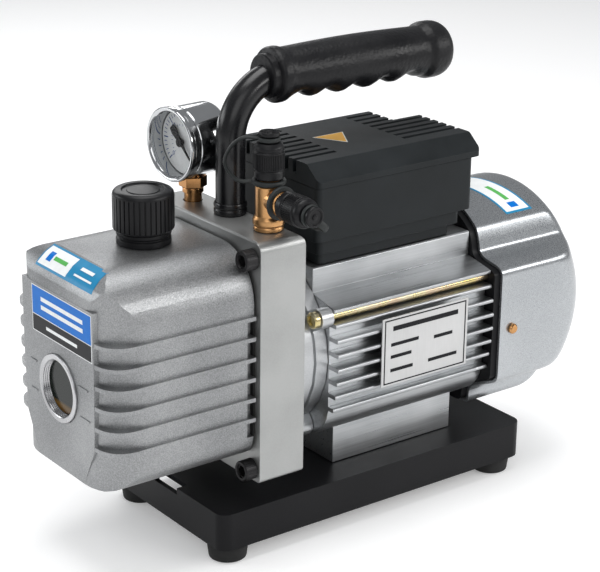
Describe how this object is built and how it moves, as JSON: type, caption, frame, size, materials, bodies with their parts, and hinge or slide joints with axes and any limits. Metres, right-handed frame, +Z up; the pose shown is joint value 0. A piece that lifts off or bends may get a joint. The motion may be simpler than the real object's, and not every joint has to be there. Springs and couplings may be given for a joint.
{
  "type": "rotary vane vacuum pump",
  "caption": "Portable two-stage rotary vane vacuum pump with finned motor, oil casing, vacuum gauge, capped intake tee, handle and rubber-footed base.",
  "frame": {"origin": "middle of the whole pump's footprint, on the floor it stands on", "axes": "+X from the oil casing towards the fan cowl along the shaft, +Z up, the intake caps on the -Y side"},
  "size_m": [0.298, 0.1198, 0.2315],
  "materials": {
    "die_cast_silver": "shot-blasted die casting, bright silver, fine metallic grain",
    "plate_aluminium": "matt light grey machined plate",
    "extruded_aluminium": "bright extruded aluminium",
    "silver_paint": "silver metallic paint, semi-gloss",
    "black_oxide_steel": "black oxide",
    "satin_black_paint": "satin black",
    "gloss_black_paint": "gloss black",
    "grip_plastic": "soft black with a fine leather grain",
    "black_plastic": "moulded black",
    "black_rubber": "matt black",
    "box_plastic": "charcoal, fine spark-eroded texture",
    "brass": "turned brass, warm orange",
    "steel": "machined steel",
    "plate_film": "satin printed plate with a black border",
    "chrome": "polished",
    "dial_white": "white dial with blue ticks",
    "clear_glass": "clear",
    "amber_glass": "clear glass over amber oil",
    "yellow_zinc": "yellow zinc plated, iridescent",
    "cast_iron": "machined cast iron",
    "laminations": "pressed steel sheets",
    "vane_carbon": "carbon composite",
    "capacitor_case": "white plastic case"
  },
  "bodies": {
    "root": {"oil_casing": "die_cast_silver", "casing_gasket": "black_rubber", "casing_screw_1": "black_oxide_steel", "casing_screw_2": "black_oxide_steel", "casing_screw_3": "black_oxide_steel", "casing_screw_4": "black_oxide_steel", "sight_glass_ring": "steel", "sight_glass_lens": "amber_glass", "filler_neck": "black_plastic", "drain_plug": "steel", "bracket_plate": "plate_aluminium", "handle_tube": "gloss_black_paint", "handle_grip": "grip_plastic", "gauge_case": "chrome", "gauge_bezel": "chrome", "gauge_lens": "clear_glass", "gauge_dial": "dial_white", "gauge_stem": "brass", "intake_fitting": "brass", "front_shield": "extruded_aluminium", "motor_housing": "extruded_aluminium", "fan_cowl": "silver_paint", "cowl_screw_1": "brass", "cowl_screw_2": "brass", "rear_shield": "satin_black_paint", "tie_rod_1": "yellow_zinc", "tie_rod_2": "yellow_zinc", "tie_rod_3": "yellow_zinc", "tie_rod_4": "yellow_zinc", "name_plate": "plate_film", "stator_core": "laminations", "front_bearing": "steel", "rear_bearing": "steel", "pump_cylinder": "cast_iron", "pump_end_plate": "cast_iron", "electric_box": "box_plastic", "box_lid": "box_plastic", "power_inlet": "black_plastic", "run_capacitor": "capacitor_case", "base_tray": "satin_black_paint", "foot_1": "black_rubber", "foot_2": "black_rubber", "foot_3": "black_rubber", "foot_4": "black_rubber"},
    "shaft": {"main_shaft": "steel", "rotor_core": "laminations", "cooling_fan": "black_plastic", "pump_rotor": "cast_iron"},
    "vane_1": {"vane_1": "vane_carbon"},
    "vane_2": {"vane_2": "vane_carbon"},
    "vane_3": {"vane_3": "vane_carbon"},
    "vane_4": {"vane_4": "vane_carbon"},
    "oil_cap_seal": {"filler_cap_seal": "black_rubber"},
    "oil_cap": {"filler_cap": "black_plastic"},
    "intake_top_strap": {"top_strap": "black_rubber"},
    "intake_top_cap": {"top_cap": "black_plastic"},
    "intake_side_strap": {"side_strap": "black_rubber"},
    "intake_side_cap": {"side_cap": "black_plastic"},
    "needle": {"gauge_needle": "black_plastic"},
    "rocker": {"power_rocker": "black_plastic"}
  },
  "joints": [
    {"name": "shaft_spin", "type": "hinge", "parent": "root", "child": "shaft", "pos_m": [-0.06879, 0.0057, 0.088], "axis": [1, 0, 0], "continuous": true},
    {"name": "vane_1_slide", "type": "slide", "parent": "shaft", "child": "vane_1", "axis": [0, -1, 0], "range_m": [0, 0.0026]},
    {"name": "vane_2_slide", "type": "slide", "parent": "shaft", "child": "vane_2", "axis": [0, 1, 0], "range_m": [0, 0.0026]},
    {"name": "vane_3_slide", "type": "slide", "parent": "shaft", "child": "vane_3", "axis": [0, -1, 0], "range_m": [0, 0.0026]},
    {"name": "vane_4_slide", "type": "slide", "parent": "shaft", "child": "vane_4", "axis": [0, 1, 0], "range_m": [0, 0.0026]},
    {"name": "oil_cap_rise", "type": "slide", "parent": "root", "child": "oil_cap_seal", "axis": [0, 0, 1], "range_m": [0, 0.009]},
    {"name": "oil_cap_turn", "type": "hinge", "parent": "oil_cap_seal", "child": "oil_cap", "pos_m": [-0.10139, 0.0057, 0.156], "axis": [0, 0, 1], "range_deg": [0, 1080]},
    {"name": "top_cap_rise", "type": "slide", "parent": "root", "child": "intake_top_strap", "axis": [0, 0, 1], "range_m": [0, 0.00508], "deforming": ["top_strap"]},
    {"name": "top_cap_turn", "type": "hinge", "parent": "intake_top_strap", "child": "intake_top_cap", "pos_m": [-0.05329, -0.0246, 0.1792], "axis": [0, 0, 1], "range_deg": [0, 1440]},
    {"name": "side_cap_rise", "type": "slide", "parent": "root", "child": "intake_side_strap", "axis": [0, -1, 0], "range_m": [0, 0.00508], "deforming": ["side_strap"]},
    {"name": "side_cap_turn", "type": "hinge", "parent": "intake_side_strap", "child": "intake_side_cap", "pos_m": [-0.05329, -0.0381, 0.1695], "axis": [0, -1, 0], "range_deg": [0, 1440]},
    {"name": "gauge_needle_turn", "type": "hinge", "parent": "root", "child": "needle", "pos_m": [-0.05619, 0.033, 0.184], "axis": [-0.9976, -0.0698, 0], "range_deg": [0, 270]},
    {"name": "rocker_press", "type": "hinge", "parent": "root", "child": "rocker", "pos_m": [0.05821, 0.0277, 0.173], "axis": [1, 0, 0], "range_deg": [0, 16]}
  ],
  "couplings": [
    {"joint": "oil_cap_turn", "follows": "oil_cap_rise", "rad_per_m": 2094.4},
    {"joint": "top_cap_turn", "follows": "top_cap_rise", "rad_per_m": 4947.4},
    {"joint": "side_cap_turn", "follows": "side_cap_rise", "rad_per_m": 4947.4}
  ]
}
